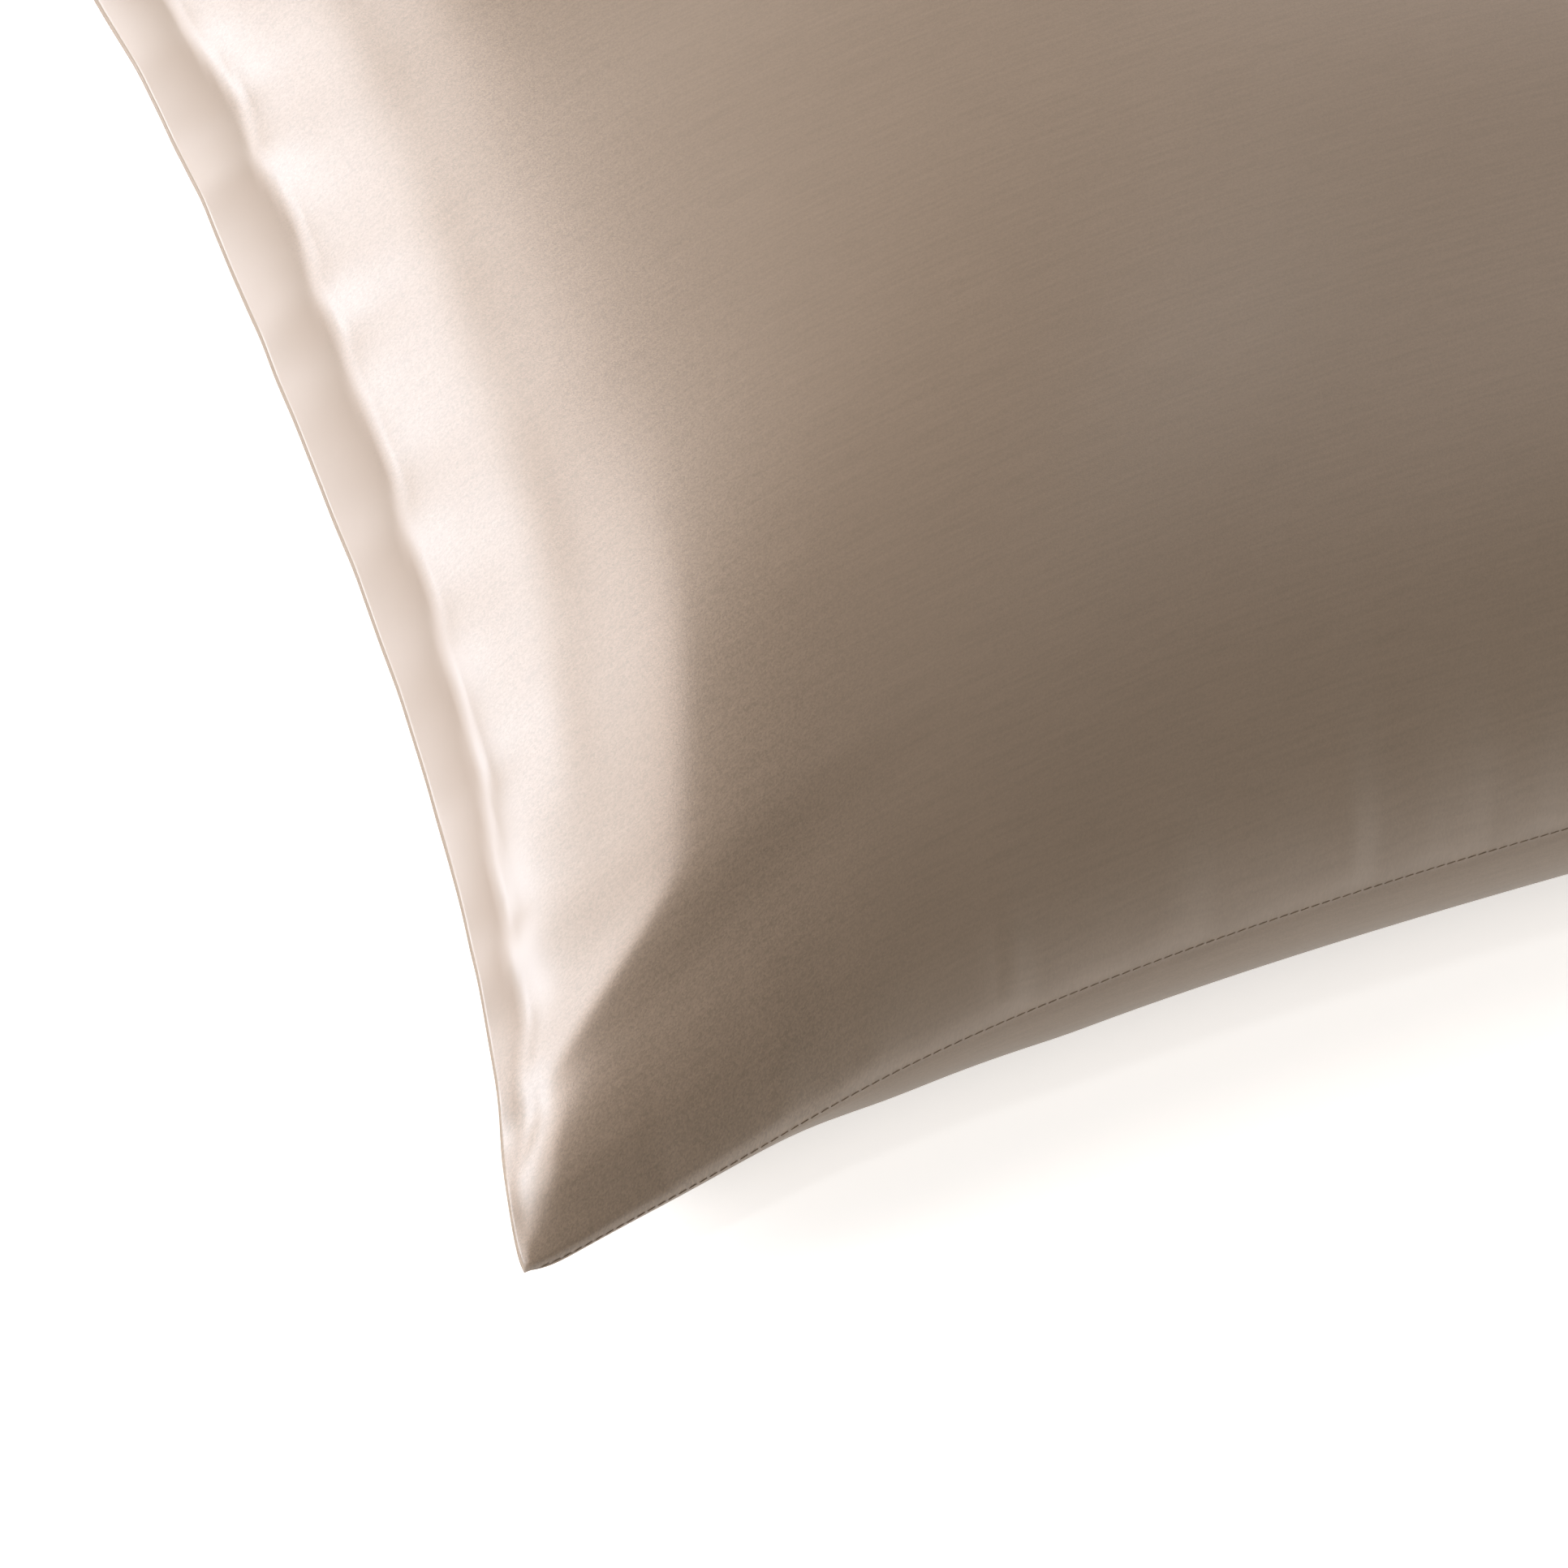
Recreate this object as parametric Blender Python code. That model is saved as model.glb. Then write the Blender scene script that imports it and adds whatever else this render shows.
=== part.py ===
"""A satin pillowcase for a bed, filled with its pillow and lying on its back.

The case is one long cloth. It turns round the closed end, its two long sides are sewn, and at
the open end (-X) the front cloth turns in over the pillow as a tuck-in flap. A pillow fills it
all but a narrow flat band at the open end. Filled, it is one soft body: a crowned front, a
lower half pressed flat on the surface, pointed corners and sides drawn in between them.

Metres, +Z up. +X runs along the long side, the origin is under the middle of the case.
"""

import math

import bmesh
import bpy

# The case as it is cut, and what filling it takes off between its corners.
CUT_LENGTH = 0.760
CUT_WIDTH = 0.510
LENGTH = CUT_LENGTH - 0.015
WIDTH = CUT_WIDTH - 0.013

# How far each side draws in at its middle. A high power keeps the middle of the side straight.
OPEN_END_DRAW = 0.022
CLOSED_END_DRAW = 0.026
FRONT_SIDE_DRAW = 0.034
REAR_SIDE_DRAW = 0.032
END_DRAW_POWER = 2.5
SIDE_DRAW_POWER = 2.8

# Height of the edge above the surface, at the corner tips and at the middle of the sides.
TIP_HEIGHT = 0.020
END_MIDDLE_HEIGHT = 0.045
SIDE_MIDDLE_HEIGHT = 0.048
EDGE_HEIGHT_POWER = 3.0

# The crowned front, above the level of the edges.
CROWN_HEIGHT = 0.090
CROWN_FLATNESS = 2.3
CROWN_FULLNESS = 0.60

# The underside turns under from the edge and comes to the flat patch that it lies on.
SIDE_TURN = 0.034
END_TURN = 0.052
SIDE_LEAN = math.radians(22)
CORNER_LEAN = math.radians(-22)
CORNER_LEAN_WHOLE = 0.030
SIDE_LEAN_STARTS = 0.060
SIDE_LEAN_WHOLE = 0.180

# The flat band at the open end, where the case is longer than the pillow in it.
BAND_THICKNESS = 0.0032
EDGE_ROUNDING = 0.004
BAND_WIDTHS = (
    # across, width
    (0.00, 0.003),
    (0.45, 0.019),
    (0.68, 0.020),
    (1.00, 0.003),
)

# Grid of each panel: columns along X, rows along Y, and the steps of the curve at each edge.
BAND_COLUMNS = 4
BODY_COLUMNS = 54
ROWS = 42
TURN_STEPS = 7

# Dents in the rim of the pillow, which shows through as a wavy ridge along the flat band.
# at: distance from the front corner along the end; pull: how far the ridge moves in there.
RIDGE_DENTS = (
    # at,    pull,   width
    (0.035, 0.0015, 0.009),
    (0.065, 0.0025, 0.010),
    (0.091, 0.0015, 0.007),
    (0.120, 0.0030, 0.011),
    (0.156, 0.0030, 0.012),
    (0.195, 0.0035, 0.013),
    (0.238, 0.0030, 0.014),
    (0.284, 0.0035, 0.014),
    (0.321, 0.0025, 0.010),
    (0.345, 0.0020, 0.007),
    (0.380, 0.0030, 0.013),
    (0.422, 0.0020, 0.012),
    (0.458, 0.0015, 0.009),
)

# A shallow trough runs from each dent up on to the front: depth is a share of the dent's pull.
TROUGH_DEPTH = 0.5
TROUGH_REACH = 0.022

# Puckers where the sewn sides gather the front cloth. at: distance from the open end's corner.
SIDE_PUCKERS = (
    # at,    reach,  depth,   width
    (0.040, 0.014, 0.0010, 0.006),
    (0.066, 0.018, 0.0014, 0.007),
    (0.110, 0.022, 0.0012, 0.008),
    (0.132, 0.018, 0.0014, 0.006),
    (0.166, 0.024, 0.0012, 0.008),
    (0.215, 0.022, 0.0010, 0.009),
    (0.260, 0.030, 0.0020, 0.009),
    (0.298, 0.028, 0.0022, 0.010),
    (0.352, 0.026, 0.0016, 0.010),
    (0.415, 0.024, 0.0014, 0.009),
    (0.470, 0.026, 0.0016, 0.009),
    (0.530, 0.022, 0.0012, 0.008),
    (0.588, 0.024, 0.0014, 0.008),
    (0.640, 0.020, 0.0012, 0.007),
    (0.690, 0.016, 0.0010, 0.006),
)

# Gathers reach their whole depth where the front stands this far above its edge.
GATHER_NEEDS_RISE = 0.020

SATIN_COLOUR = (0.50, 0.42, 0.35, 1.0)
SATIN_ROUGHNESS = 0.38


def clear_scene():
    for thing in list(bpy.data.objects):
        bpy.data.objects.remove(thing, do_unlink=True)


def mix(low, high, share):
    return low + (high - low) * share


def arch(share, power):
    """0 at both ends of a side and 1 at its middle."""
    return 1.0 - abs(2.0 * share - 1.0) ** power


def smooth_rise(value, start, whole):
    """0 up to start, 1 from whole on, with a soft S between them."""
    share = min(max((value - start) / (whole - start), 0.0), 1.0)
    return share * share * (3.0 - 2.0 * share)


def bell(offset, width):
    return math.exp(-(offset / width) ** 2)


# Plan -----------------------------------------------------------------------------------


def open_end_x(across):
    return -LENGTH / 2 + OPEN_END_DRAW * arch(across, END_DRAW_POWER)


def closed_end_x(across):
    return LENGTH / 2 - CLOSED_END_DRAW * arch(across, END_DRAW_POWER)


def front_side_y(along):
    return -WIDTH / 2 + FRONT_SIDE_DRAW * arch(along, SIDE_DRAW_POWER)


def rear_side_y(along):
    return WIDTH / 2 - REAR_SIDE_DRAW * arch(along, SIDE_DRAW_POWER)


def plan(along, across):
    """Place in plan of a point of the cloth, from its shares of the length and the width."""
    x = mix(open_end_x(across), closed_end_x(across), along)
    y = mix(front_side_y(along), rear_side_y(along), across)
    return x, y


def edge_level(along, across):
    """Height of the edge all round, carried on over the middle as a smooth level."""
    end_rise = (END_MIDDLE_HEIGHT - TIP_HEIGHT) * arch(across, EDGE_HEIGHT_POWER)
    side_rise = (SIDE_MIDDLE_HEIGHT - TIP_HEIGHT) * arch(along, EDGE_HEIGHT_POWER)
    return TIP_HEIGHT + end_rise + side_rise


# The open end's band and ridge ------------------------------------------------------------


def band_width(across):
    """Width of the flat band at this share of the way across the end, eased between rows."""
    for (start, low), (end, high) in zip(BAND_WIDTHS, BAND_WIDTHS[1:]):
        if across <= end:
            return mix(low, high, smooth_rise(across, start, end))
    return BAND_WIDTHS[-1][1]


def band_share(across):
    """The flat band with the dents of the ridge beside it, as a share of the length."""
    width = band_width(across)
    for at, pull, dent_width in RIDGE_DENTS:
        width += pull * bell(across * WIDTH - at, dent_width)
    return width / LENGTH


def band_cloth(along, across):
    """Half the thickness of the two layers of cloth, rounded off at the edge they share."""
    from_end = min(along, 1.0 - along) * LENGTH
    from_side = min(across, 1.0 - across) * WIDTH
    rounding = smooth_rise(min(from_end, from_side), 0.0, EDGE_ROUNDING)
    return BAND_THICKNESS / 2 * rounding


# The front --------------------------------------------------------------------------------


def crown(share):
    """Rise of the crown from one edge, over the middle, to the other edge."""
    return max(arch(share, CROWN_FLATNESS), 0.0) ** CROWN_FULLNESS


def pucker_depth(along, across):
    """How far the gathers along both long sides draw the front cloth down."""
    place = along * LENGTH
    depth = 0.0
    for at, reach, deep, width in SIDE_PUCKERS:
        from_front = across * WIDTH
        from_rear = (1.0 - across) * WIDTH
        depth += deep * bell(place - at, width) * math.exp(-from_front / reach)
        depth += deep * bell(LENGTH - place - at, width) * math.exp(-from_rear / reach)
    return depth


def trough_depth(from_ridge, across):
    """How deep the trough is that runs from each dent of the ridge up on to the front."""
    depth = 0.0
    for at, pull, dent_width in RIDGE_DENTS:
        depth += TROUGH_DEPTH * pull * bell(across * WIDTH - at, dent_width)
    return depth * math.exp(-from_ridge / TROUGH_REACH)


def front_height(along, across):
    band = band_share(across)
    body = max((along - band) / (1.0 - band), 0.0)
    rise = CROWN_HEIGHT * crown(body) * crown(across)
    gather = pucker_depth(along, across) + trough_depth(body * LENGTH, across)
    gather *= min(rise / GATHER_NEEDS_RISE, 1.0)
    return edge_level(along, across) + band_cloth(along, across) + rise - gather


# The underside ------------------------------------------------------------------------------


def turn_under(step, lean, reach):
    """Distance in from the edge, and share of the way down, on the curve that turns under.

    The curve starts at the edge, leans out by lean below it, and ends level at the surface.
    """
    angle = mix(lean, -math.pi / 2, min(step, 1.0))
    inward = reach * (math.cos(lean) - math.cos(angle))
    down = (math.sin(lean) - math.sin(angle)) / (1.0 + math.sin(lean))
    return inward, down


def side_lean(along):
    """The long sides bulge out below the seam, and slope straight in near the corners."""
    from_corner = min(along, 1.0 - along) * LENGTH
    corner = CORNER_LEAN * smooth_rise(from_corner, 0.0, CORNER_LEAN_WHOLE)
    return mix(corner, SIDE_LEAN, smooth_rise(from_corner, SIDE_LEAN_STARTS, SIDE_LEAN_WHOLE))


# The grid of the two panels -------------------------------------------------------------------


def grid_line(index, count, lean, reach, size):
    """Share of a side, and share of the way down under it, of one line of the grid.

    The lines follow the curve that turns under at both edges, and are even between them.
    """
    if index <= TURN_STEPS:
        inward, down = turn_under(index / TURN_STEPS, lean, reach)
        return inward / size, down
    if count - index <= TURN_STEPS:
        inward, down = turn_under((count - index) / TURN_STEPS, lean, reach)
        return 1.0 - inward / size, down
    inward, _ = turn_under(1.0, lean, reach)
    flat_share = (index - TURN_STEPS) / (count - 2 * TURN_STEPS)
    return mix(inward, size - inward, flat_share) / size, 1.0


def grid_place(column, row):
    """Shares of the length and width of a grid point, and how far its end has turned under."""
    across, _ = grid_line(row, ROWS, 0.0, SIDE_TURN, WIDTH)
    band = band_share(across)
    if column <= BAND_COLUMNS:
        return band * column / BAND_COLUMNS, across, 0.0
    share, end_down = grid_line(column - BAND_COLUMNS, BODY_COLUMNS, 0.0, END_TURN, LENGTH)
    return mix(band, 1.0, share), across, end_down


def front_point(column, row):
    along, across, _ = grid_place(column, row)
    x, y = plan(along, across)
    return x, y, front_height(along, across)


def back_point(column, row):
    along, level_across, end_down = grid_place(column, row)
    across, side_down = grid_line(row, ROWS, side_lean(along), SIDE_TURN, WIDTH)
    x, y = plan(along, across)
    level = edge_level(along, level_across) - band_cloth(along, level_across)
    return x, y, level * (1.0 - end_down * side_down)


def panel(mesh, point, facing_down):
    """One panel of the case: a grid of faces whose corners are placed by the point function."""
    columns = BAND_COLUMNS + BODY_COLUMNS
    corners = [
        [mesh.verts.new(point(column, row)) for row in range(ROWS + 1)]
        for column in range(columns + 1)
    ]
    for column in range(columns):
        for row in range(ROWS):
            face = [
                corners[column][row],
                corners[column + 1][row],
                corners[column + 1][row + 1],
                corners[column][row + 1],
            ]
            if facing_down:
                face.reverse()
            mesh.faces.new(face)


def sew_edges(mesh):
    """Joins the front and the back along their common edge into one closed body."""
    bmesh.ops.remove_doubles(mesh, verts=mesh.verts[:], dist=0.00002)
    bmesh.ops.recalc_face_normals(mesh, faces=mesh.faces[:])


def satin():
    finish = bpy.data.materials.new("satin")
    finish.use_nodes = True
    shader = finish.node_tree.nodes["Principled BSDF"]
    shader.inputs["Base Color"].default_value = SATIN_COLOUR
    shader.inputs["Roughness"].default_value = SATIN_ROUGHNESS
    shader.inputs["Metallic"].default_value = 0.0
    return finish


def build_pillowcase():
    mesh = bmesh.new()
    panel(mesh, front_point, facing_down=False)
    panel(mesh, back_point, facing_down=True)
    sew_edges(mesh)
    data = bpy.data.meshes.new("pillowcase")
    mesh.to_mesh(data)
    mesh.free()
    data.shade_smooth()
    data.materials.append(satin())
    pillowcase = bpy.data.objects.new("pillowcase", data)
    bpy.context.collection.objects.link(pillowcase)
    return pillowcase


clear_scene()
build_pillowcase()
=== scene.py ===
# %% [markdown]
# # A satin pillowcase on its pillow
#
# This lesson dresses one part: a champagne satin pillowcase, filled with its pillow and lying
# on its back. The frame gives the size and place of the soft body. The lesson makes the cloth
# that shows: its form, its sewn sides, its open end, its stitches and its weave.
#
# The frame comes first, and its box is noted, so that the finished case can be held against it.

# %% Load the frame
import math

import bpy
import numpy as np
from mathutils import Matrix, Vector


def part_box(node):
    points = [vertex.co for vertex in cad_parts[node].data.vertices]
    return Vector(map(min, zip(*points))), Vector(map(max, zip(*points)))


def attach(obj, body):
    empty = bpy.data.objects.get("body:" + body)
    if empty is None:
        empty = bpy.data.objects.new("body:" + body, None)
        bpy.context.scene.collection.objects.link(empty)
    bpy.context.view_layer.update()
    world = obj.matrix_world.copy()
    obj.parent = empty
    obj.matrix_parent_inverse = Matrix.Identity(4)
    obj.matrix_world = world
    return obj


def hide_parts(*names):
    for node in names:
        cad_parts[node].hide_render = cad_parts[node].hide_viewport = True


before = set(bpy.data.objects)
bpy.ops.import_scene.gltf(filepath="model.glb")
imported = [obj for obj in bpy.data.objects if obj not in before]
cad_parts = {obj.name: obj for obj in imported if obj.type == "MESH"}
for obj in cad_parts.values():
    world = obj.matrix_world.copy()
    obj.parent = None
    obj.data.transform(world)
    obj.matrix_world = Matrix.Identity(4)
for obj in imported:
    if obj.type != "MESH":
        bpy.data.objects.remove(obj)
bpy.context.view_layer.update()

LOW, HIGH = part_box("pillowcase")
LENGTH = HIGH.x - LOW.x
WIDTH = HIGH.y - LOW.y
MM = 0.001
print("case in the frame:", [round(side / MM, 1) for side in HIGH - LOW], "mm")


# %% [markdown]
# ## The camera
#
# The picture looks down on one front corner of the case, slightly turned. A long lens keeps the
# sides of the case nearly parallel. The camera could be aimed by hand, but angles are easier to
# read: where it stands round the case, how high, how far it is rolled, and the point that it
# looks at. Its lens follows from how many pixels a metre takes at that distance.

# %% The camera
PICTURE_SIZE = 1932
PIXELS_PER_METRE = 4900.0
CAMERA_DISTANCE = 1.60
CAMERA_TARGET = Vector((-0.277, -0.1625, 0.080))
CAMERA_AZIMUTH = math.radians(-30.0)
CAMERA_ELEVATION = math.radians(57.0)
CAMERA_ROLL = math.radians(11.2)
SENSOR_WIDTH = 36.0


def deselect_all():
    for thing in bpy.context.selected_objects:
        thing.select_set(False)


def camera_axes(azimuth, elevation, roll):
    """Right, up and backward directions of a camera that stands at these angles."""
    back = Vector((
        math.sin(azimuth) * math.cos(elevation),
        -math.cos(azimuth) * math.cos(elevation),
        math.sin(elevation),
    ))
    level_right = Vector((math.cos(azimuth), math.sin(azimuth), 0.0))
    level_up = back.cross(level_right)
    right = level_right * math.cos(roll) + level_up * math.sin(roll)
    up = level_up * math.cos(roll) - level_right * math.sin(roll)
    return right, up, back


def add_camera():
    deselect_all()
    right, up, back = camera_axes(CAMERA_AZIMUTH, CAMERA_ELEVATION, CAMERA_ROLL)
    bpy.ops.object.camera_add(location=CAMERA_TARGET + back * CAMERA_DISTANCE)
    camera = bpy.context.object
    camera.name = "camera"
    turn = Matrix((right, up, back)).transposed()
    camera.rotation_euler = turn.to_euler()
    camera.data.sensor_width = SENSOR_WIDTH
    camera.data.lens = SENSOR_WIDTH * PIXELS_PER_METRE * CAMERA_DISTANCE / PICTURE_SIZE
    bpy.context.scene.camera = camera
    return camera


camera = add_camera()
print("camera lens:", round(camera.data.lens, 1), "mm")


# %% [markdown]
# ## The plan of the case
#
# Cut flat, the case is a rectangle. Filled, its corners stay put while the pillow swells, so
# each side draws in between them. Every point of the cloth is named by two shares: how far along
# the case it lies, from the open end, and how far across, from the front side. A few small
# functions turn those shares into places. They work on whole arrays, so that a fine grid costs
# no more typing than a coarse one. The same could be done with a mesh pushed about by hand, but
# a side then never keeps an even curve.

# %% Small helpers, and the plan
OPEN_END_DRAW = 0.0244
CLOSED_END_DRAW = 0.026
FRONT_SIDE_DRAW = 0.032
REAR_SIDE_DRAW = 0.032
END_DRAW_POWER = 2.5
END_DRAW_POWER_BEHIND = 3.2
FRONT_DRAW_POWER = 3.18
REAR_DRAW_POWER = 2.8
TIP_PULL = (2.3 * MM, 4.2 * MM)
TIP_REACH = 7 * MM
END_FULLNESS = (1.6 * MM, 25 * MM, 20 * MM)
SIDE_FULLNESS = (2.5 * MM, 55 * MM, 40 * MM)


def mix(low, high, share):
    return low + (high - low) * share


def arch(share, power):
    """0 at both ends of a side and 1 at its middle."""
    return 1.0 - np.abs(2.0 * share - 1.0) ** power


def smooth_rise(value, start, whole):
    """0 up to start, 1 from whole on, with a soft S between them."""
    share = np.clip((value - start) / (whole - start), 0.0, 1.0)
    return share * share * (3.0 - 2.0 * share)


def bell(offset, width):
    return np.exp(-((offset / width) ** 2))


def from_end(along):
    """Distance to the nearer short end."""
    return np.minimum(along, 1.0 - along) * LENGTH


def from_side(across):
    """Distance to the nearer long side."""
    return np.minimum(across, 1.0 - across) * WIDTH


def fullness(from_tip, size, middle, width):
    """How far a side bulges out beside a corner, where the pillow's own corner fills it."""
    return size * bell(from_tip - middle, width)


def plan(along, across):
    """Place in plan of the points of the cloth, from their shares of length and width.

    The corner tips are pulled in a little, because a turned-out corner is never quite sharp.
    """
    open_power = np.where(across < 0.5, END_DRAW_POWER, END_DRAW_POWER_BEHIND)
    open_x = -LENGTH / 2 + OPEN_END_DRAW * arch(across, open_power)
    closed_x = LENGTH / 2 - CLOSED_END_DRAW * arch(across, END_DRAW_POWER)
    front_y = -WIDTH / 2 + FRONT_SIDE_DRAW * arch(along, FRONT_DRAW_POWER)
    rear_y = WIDTH / 2 - REAR_SIDE_DRAW * arch(along, REAR_DRAW_POWER)
    open_x = open_x - fullness(from_side(across), *END_FULLNESS)
    front_y = front_y - fullness(from_end(along), *SIDE_FULLNESS)
    x = mix(open_x, closed_x, along)
    y = mix(front_y, rear_y, across)
    tip = np.exp(-(from_end(along) + from_side(across)) / TIP_REACH)
    x = x + np.where(along < 0.5, 1.0, -1.0) * TIP_PULL[0] * tip
    y = y + np.where(across < 0.5, 1.0, -1.0) * TIP_PULL[1] * tip
    return x, y


MIDDLE = np.array(0.5)
FRONT_SIDE = np.array(0.0)
print("front side at its middle: y =", round(float(plan(MIDDLE, FRONT_SIDE)[1]) / MM, 1), "mm")


# %% [markdown]
# ## The grid of the cloth
#
# Each panel is a grid of square faces. Folds and seams turn within a millimetre or two, while
# the crown is smooth for hundreds of them, so the lines stand close together at the edges and
# apart in the middle. The spacing grows with the distance from the nearest edge. Here it is
# counted off one line at a time, as a maker would with a rule.

# %% Lines of the grid
FINEST_STEP = 0.35 * MM
STEP_GROWTH = 0.28
EDGE_STEP = 2.0 * MM
EDGE_REACH = 70 * MM
MIDDLE_STEP = 3.7 * MM


def grid_step(from_edge):
    """Distance to the next line at this distance from the nearest edge."""
    widest = EDGE_STEP if from_edge < EDGE_REACH else MIDDLE_STEP
    return min(FINEST_STEP + STEP_GROWTH * from_edge, widest)


def grid_lines(size):
    """Shares of a side where its lines stand, even about its middle."""
    places = [0.0]
    while places[-1] < size / 2:
        places.append(places[-1] + grid_step(places[-1]))
    half = np.array(places) / places[-1] * 0.5
    return np.concatenate([half, 1.0 - half[-2::-1]])


ALONG_LINES = grid_lines(LENGTH)
ACROSS_LINES = grid_lines(WIDTH)
print("grid of a panel:", len(ALONG_LINES), "x", len(ACROSS_LINES), "lines")


# %% [markdown]
# ## The open end
#
# The case is longer than its pillow, so a band of empty cloth is left at the open end. It hangs
# from the pillow's rim and droops towards the table. Where the rim presses into the cloth there
# is a wavy ridge, because the pillow's own edge is lumpy. The lumps of that ridge are a list:
# where each lies along the end, how far it pushes the ridge out (or a dent lets it in, with a
# minus), and how wide it is. A lump also lifts the cloth a little.

# %% Band, droop and ridge
BAND_THICKNESS = 2.4 * MM
BAND_AT_TIPS = 1.2 * MM
BAND_AT_WIDEST = 18.8 * MM
BAND_WIDEST_AT = 0.65
DROOP_SLOPE_AT_RIDGE = 0.38
DROOP_SLOPE_AT_EDGE = 0.58
RIDGE_SINK = 0.15
RIDGE_SINK_REACH = 60 * MM
RIDGE_LUMPS = (
    # at,    push,   width
    (0.023, +0.0026, 0.009),
    (0.036, -0.0013, 0.007),
    (0.047, +0.0006, 0.006),
    (0.063, -0.0026, 0.011),
    (0.080, +0.0006, 0.005),
    (0.090, -0.0010, 0.005),
    (0.104, +0.0006, 0.007),
    (0.128, -0.0010, 0.007),
    (0.166, +0.0014, 0.009),
    (0.184, -0.0004, 0.006),
    (0.206, +0.0017, 0.009),
    (0.225, -0.0007, 0.008),
    (0.256, +0.0011, 0.011),
    (0.272, -0.0006, 0.007),
    (0.286, +0.0018, 0.008),
    (0.311, -0.0008, 0.009),
    (0.335, +0.0025, 0.008),
    (0.358, -0.0013, 0.007),
    (0.384, +0.0014, 0.008),
    (0.405, -0.0009, 0.008),
    (0.428, +0.0014, 0.009),
    (0.452, -0.0008, 0.008),
    (0.472, +0.0008, 0.007),
)
LUMP_REACH = 12 * MM
LUMP_RISE = 0.25
LUMP_RISE_REACH = 9 * MM


def plain_band_width(across):
    """Width of the band before the ridge's lumps: widest a little behind the middle."""
    half = np.where(across < BAND_WIDEST_AT, BAND_WIDEST_AT, 1.0 - BAND_WIDEST_AT)
    away = (across - BAND_WIDEST_AT) / half
    return mix(BAND_AT_WIDEST, BAND_AT_TIPS, away**2) + fullness(from_side(across), *END_FULLNESS)


def ridge_push(across):
    """How far the lumps push the ridge towards the open end."""
    push = 0.0 * across
    for at, out, width in RIDGE_LUMPS:
        push = push + out * bell(across * WIDTH - at, width)
    return push


def ridge_place(across):
    """Distance of the lumpy ridge from the open edge."""
    return np.maximum(plain_band_width(across) - ridge_push(across), BAND_AT_TIPS)


def band_width(along, across):
    """Width of the band as it acts on the cloth at a place: the lumps fade out up the front."""
    fade = np.exp(-np.maximum(along * LENGTH - ridge_place(across), 0.0) / LUMP_REACH)
    return mix(plain_band_width(across), ridge_place(across), fade)


def droop(along, across):
    """How far the empty band hangs below the level of the pillow's rim.

    It bends down more steeply towards its edge. The rim itself has sunk a little under it, and
    that fades out up the front.
    """
    width = plain_band_width(across)
    outside = np.maximum(ridge_place(across) - along * LENGTH, 0.0)
    inside = np.maximum(along * LENGTH - ridge_place(across), 0.0)
    bend = (DROOP_SLOPE_AT_EDGE - DROOP_SLOPE_AT_RIDGE) / (2 * width)
    sunk = RIDGE_SINK * width * np.clip(1.0 - inside / RIDGE_SINK_REACH, 0.0, 1.0) ** 2
    return DROOP_SLOPE_AT_RIDGE * outside + bend * outside**2 + sunk


def lump_rise(from_ridge, across):
    """How far the lumps lift the cloth, and dents lower it, this far inside the ridge."""
    reach = np.maximum(from_ridge, 0.0) / LUMP_RISE_REACH
    return LUMP_RISE * ridge_push(across) * np.exp(-reach)


print("band at the middle:", round(float(ridge_place(MIDDLE)) / MM, 1), "mm wide")


# %% [markdown]
# Where the cloth is spare it also lies in a few soft folds beside the ridge. One longer crease
# rises from the corner tip, runs away from the ridge and fades out on the flank: there the cloth
# turns from the open end to the long side. It is steep towards the ridge and long and shallow
# on its far side. Near the corner the cloth also starts up from the ridge more steeply, and the
# turned edge dips a little. All of this is only a few millimetres high. It could be left to
# bump, but satin changes its gloss with every degree of slope, so real slopes look truer.

# %% Soft folds by the ridge, the corner crease, and dips of the open edge
SOFT_FOLDS = (
    # at,    half_length, from_ridge, width, rise
    (0.128, 0.024, 0.021, 0.0065, 0.0006),
    (0.178, 0.038, 0.026, 0.0080, 0.0009),
    (0.262, 0.040, 0.026, 0.0090, 0.0008),
    (0.352, 0.045, 0.028, 0.0090, 0.0008),
    (0.440, 0.035, 0.022, 0.0080, 0.0009),
)
CREASE_RUN = (38 * MM, 73 * MM)
CREASE_FROM_RIDGE = (9.5 * MM, 52 * MM)
CREASE_DRIFT = 0.12
CREASE_WIDTHS = (6.5 * MM, 24 * MM)
CREASE_FAR_WIDTHS = (28 * MM, 45 * MM)
CREASE_STEEPNESS = (0.23, 0.16)
CREASE_LEAVES_TIP = (4 * MM, 18 * MM)
CREASE_FADES = (110 * MM, 210 * MM)
CREASE_FOOT = 4 * MM
FOOT_STEEPNESS = (0.48, 0.30)
FOOT_REACHES = (4 * MM, 8 * MM)
FOOT_FADES = (110 * MM, 190 * MM)
FOOT_RECOVERY = 120 * MM
EDGE_DIPS = (
    # at,    half_length, reach, dip
    (0.037, 0.010, 0.0045, 0.0013),
    (0.120, 0.016, 0.0040, 0.0005),
    (0.300, 0.030, 0.0050, 0.0004),
    (0.420, 0.020, 0.0040, 0.0006),
)


def fold_rise(from_ridge, across):
    """Height of the soft folds that run beside the ridge."""
    rise = 0.0 * from_ridge * across
    for at, half_length, centre, width, height in SOFT_FOLDS:
        along_fold = bell(across * WIDTH - at, half_length)
        rise = rise + height * along_fold * bell(from_ridge - centre, width)
    return rise


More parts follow.
